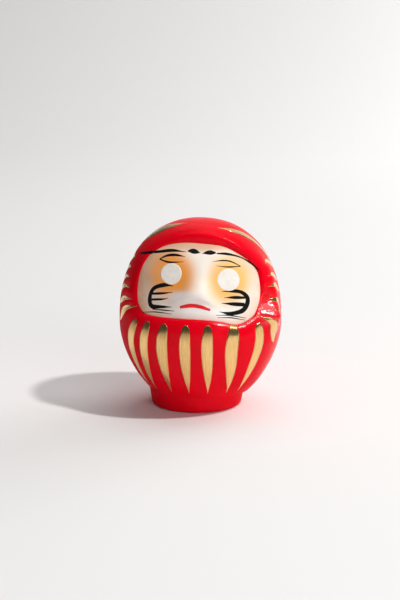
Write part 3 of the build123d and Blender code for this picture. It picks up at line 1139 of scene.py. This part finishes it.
def eye_points(x, z, wide, high, lean):
    """Points of one eye: rings over it, rings under it and both middles."""
    top, bottom = [], []
    for step in range(1, EYE_RINGS + 1):
        share = step / EYE_RINGS
        height = EYE_EDGE
        if step < EYE_RINGS:
            ripple = math.cos(share * high / RIPPLE_LENGTH * 2 * math.pi)
            height = EYE_HEIGHT + RIPPLE_HEIGHT * ripple
        for across, up in share * eye_outline(x, z, wide, high, lean):
            place, normal, _ = from_front(x + across, z + up)
            top.append(place + normal * height)
            bottom.append(place - normal * PAINT_ROOT)
    place, normal, _ = from_front(x, z)
    return top + bottom + [place + normal * EYE_HEIGHT, place - normal * PAINT_ROOT]


def eye_discs():
    """Two blank white discs, with faint rings that the brush left."""
    points, faces = [], []
    for eye in EYES:
        faces += layer_faces(EYE_RINGS, EYE_COLUMNS, len(points))
        points += eye_points(*eye)
    make_piece("eye_discs", points, faces, "eye_white", "eye_spots")


face_coat()
eye_discs()


# ---- Foot ----

FOOT_COLUMNS = 200
EDGE_STEPS = 8
SIDE_STEPS = 22
JOIN_OVERLAP = 0.3  # how far the foot's top lies in the shell
SHOULDER_START = 0.88  # share of the height of the side
SHOULDER_TUCK = 0.9
FOOT_UNEVEN = 0.8  # of the shell's waviness


def foot_rings():
    """Rings round the foot's lower edge, up its side to the leaning join, and one inside the top."""
    turns = 2 * math.pi * np.arange(FOOT_COLUMNS) / FOOT_COLUMNS
    x, y = np.cos(turns), np.sin(turns)
    top = FOOT_HEIGHT + JOIN_OVERLAP - FOOT_TOP_RADIUS * x * math.tan(JOIN_LEAN)
    sizes = []
    for step in range(EDGE_STEPS + 1):
        turn = math.pi / 2 * step / EDGE_STEPS
        radius = FOOT_BOTTOM_RADIUS - FOOT_EDGE * (1 - math.sin(turn))
        sizes.append((radius, np.full(FOOT_COLUMNS, FOOT_EDGE * (1 - math.cos(turn)))))
    for step in range(1, SIDE_STEPS):
        share = step / SIDE_STEPS
        radius = FOOT_BOTTOM_RADIUS + (FOOT_TOP_RADIUS - FOOT_BOTTOM_RADIUS) * share
        radius -= SHOULDER_TUCK * max(0.0, (share - SHOULDER_START) / (1 - SHOULDER_START))
        sizes.append((radius, FOOT_EDGE + (top - FOOT_EDGE) * share))
    radius, height = sizes[-1]
    sizes.append((radius * 0.9, height + 0.4))
    return [np.column_stack((FOOT_X + r * x, r * y, z)) for r, z in sizes]


def foot():
    """Clay foot, with a rounded lower edge and a rounded shoulder under the leaning join."""
    rings = foot_rings()
    middles = [(FOOT_X, 0, 0), (FOOT_X, 0, FOOT_HEIGHT + 0.6)]
    points = np.concatenate(rings + [middles])
    radial = unit(points * (1, 1, 0) - (FOOT_X, 0, 0))
    points = points + radial * waviness(points)[:, None] * FOOT_UNEVEN
    end = len(rings) * FOOT_COLUMNS
    faces = ring_faces(len(rings), FOOT_COLUMNS, flip=True)
    faces += fan_faces(end, 0, FOOT_COLUMNS, flip=True)
    faces += fan_faces(end + 1, end - FOOT_COLUMNS, FOOT_COLUMNS)
    make_piece("foot_lacquered", points, faces, "foot_lacquer", "base_weight")


foot()


# ---- Floor, light and camera ----


def sweep():
    """A paper sweep: floor that curves up into a backdrop."""
    left, right, front, bend, top, radius = -0.5, 1.6, -2.2, 1.3, 2.6, 0.8
    line = [(front, 0.0), (bend, 0.0)]
    for turn in math.pi / 2 * np.arange(1, 17) / 16:
        line.append((bend + radius * math.sin(turn), radius * (1 - math.cos(turn))))
    line.append((bend + radius, top))
    points = [(x, y, z) for y, z in line for x in (left, right)]
    faces = [(2 * i, 2 * i + 1, 2 * i + 3, 2 * i + 2) for i in range(len(line) - 1)]
    mesh = bpy.data.meshes.new("sweep")
    mesh.from_pydata(points, [], faces)
    mesh.polygons.foreach_set("use_smooth", [True] * len(faces))
    made = bpy.data.objects.new("sweep", mesh)
    bpy.context.scene.collection.objects.link(made)
    tree, shader = new_material("sweep_paper")
    paper = {"Base Color": (0.82, 0.81, 0.805, 1), "Roughness": 0.9, "Specular IOR Level": 0.1}
    set_inputs(tree, shader, paper)
    mesh.materials.append(PAINTS["sweep_paper"])


sweep()


def soft_light(name, place, aim, size, energy, shape="RECTANGLE", colour=(1, 1, 1)):
    """An area light; places and sizes in metres, energy in watts."""
    light = bpy.data.objects.new(name, bpy.data.lights.new(name, "AREA"))
    light.data.shape = shape
    light.data.size, light.data.size_y = size
    light.data.energy = energy
    light.data.color = colour
    light.location = place
    light.rotation_mode = "QUATERNION"
    light.rotation_quaternion = (Vector(place) - Vector(aim)).to_track_quat("Z", "Y")
    bpy.context.scene.collection.objects.link(light)


KEY_DISTANCE = 2.0
TO_KEY = Vector((0.535, -0.224, 0.815)).normalized()
KEY_COLOUR = (1.0, 0.985, 0.965)
soft_light("key", TO_KEY * KEY_DISTANCE, (0, 0, 0.05), (0.14, 0.14), 23, "DISK", KEY_COLOUR)
soft_light("overhead_fill", (0.4, 0.7, 2.2), (0.15, 0.4, 0), (2.2, 2.0), 17)
soft_light("window", (1.7, 1.4, 1.0), (0, 0.4, 0.1), (1.3, 0.9), 18)
soft_light("front_fill", (0.8, -1.8, 0.7), (0, 0, 0.06), (1.2, 0.8), 12)
soft_light("left_card", (-0.95, 1.9, 0.95), (-0.8, 0, 0.3), (0.6, 0.6), 1.5)
soft_light("side_panel", (1.05, 1.8, 0.75), (0, 0, 0.06), (0.5, 1.5), 7)
for unseen in ("window", "front_fill", "left_card", "side_panel"):
    bpy.data.objects[unseen].visible_glossy = False

world = bpy.data.worlds.new("room")
world.use_nodes = True
background = world.node_tree.nodes["Background"]
set_inputs(world.node_tree, background, {"Color": (0.97, 0.98, 1.0, 1), "Strength": 0.12})
bpy.context.scene.world = world
bpy.context.scene.view_settings.view_transform = "Standard"

CAMERA_DISTANCE = 0.9
CAMERA_ELEVATION = math.radians(12)
AIM = Vector((-0.0003, 0, 0.0649))
camera = bpy.data.objects.new("camera", bpy.data.cameras.new("camera"))
camera.data.lens = 87.5
back = Vector((0, -math.cos(CAMERA_ELEVATION), math.sin(CAMERA_ELEVATION)))
camera.location = AIM + back * CAMERA_DISTANCE
camera.rotation_mode = "QUATERNION"
camera.rotation_quaternion = back.to_track_quat("Z", "Y")
bpy.context.scene.collection.objects.link(camera)
bpy.context.scene.camera = camera
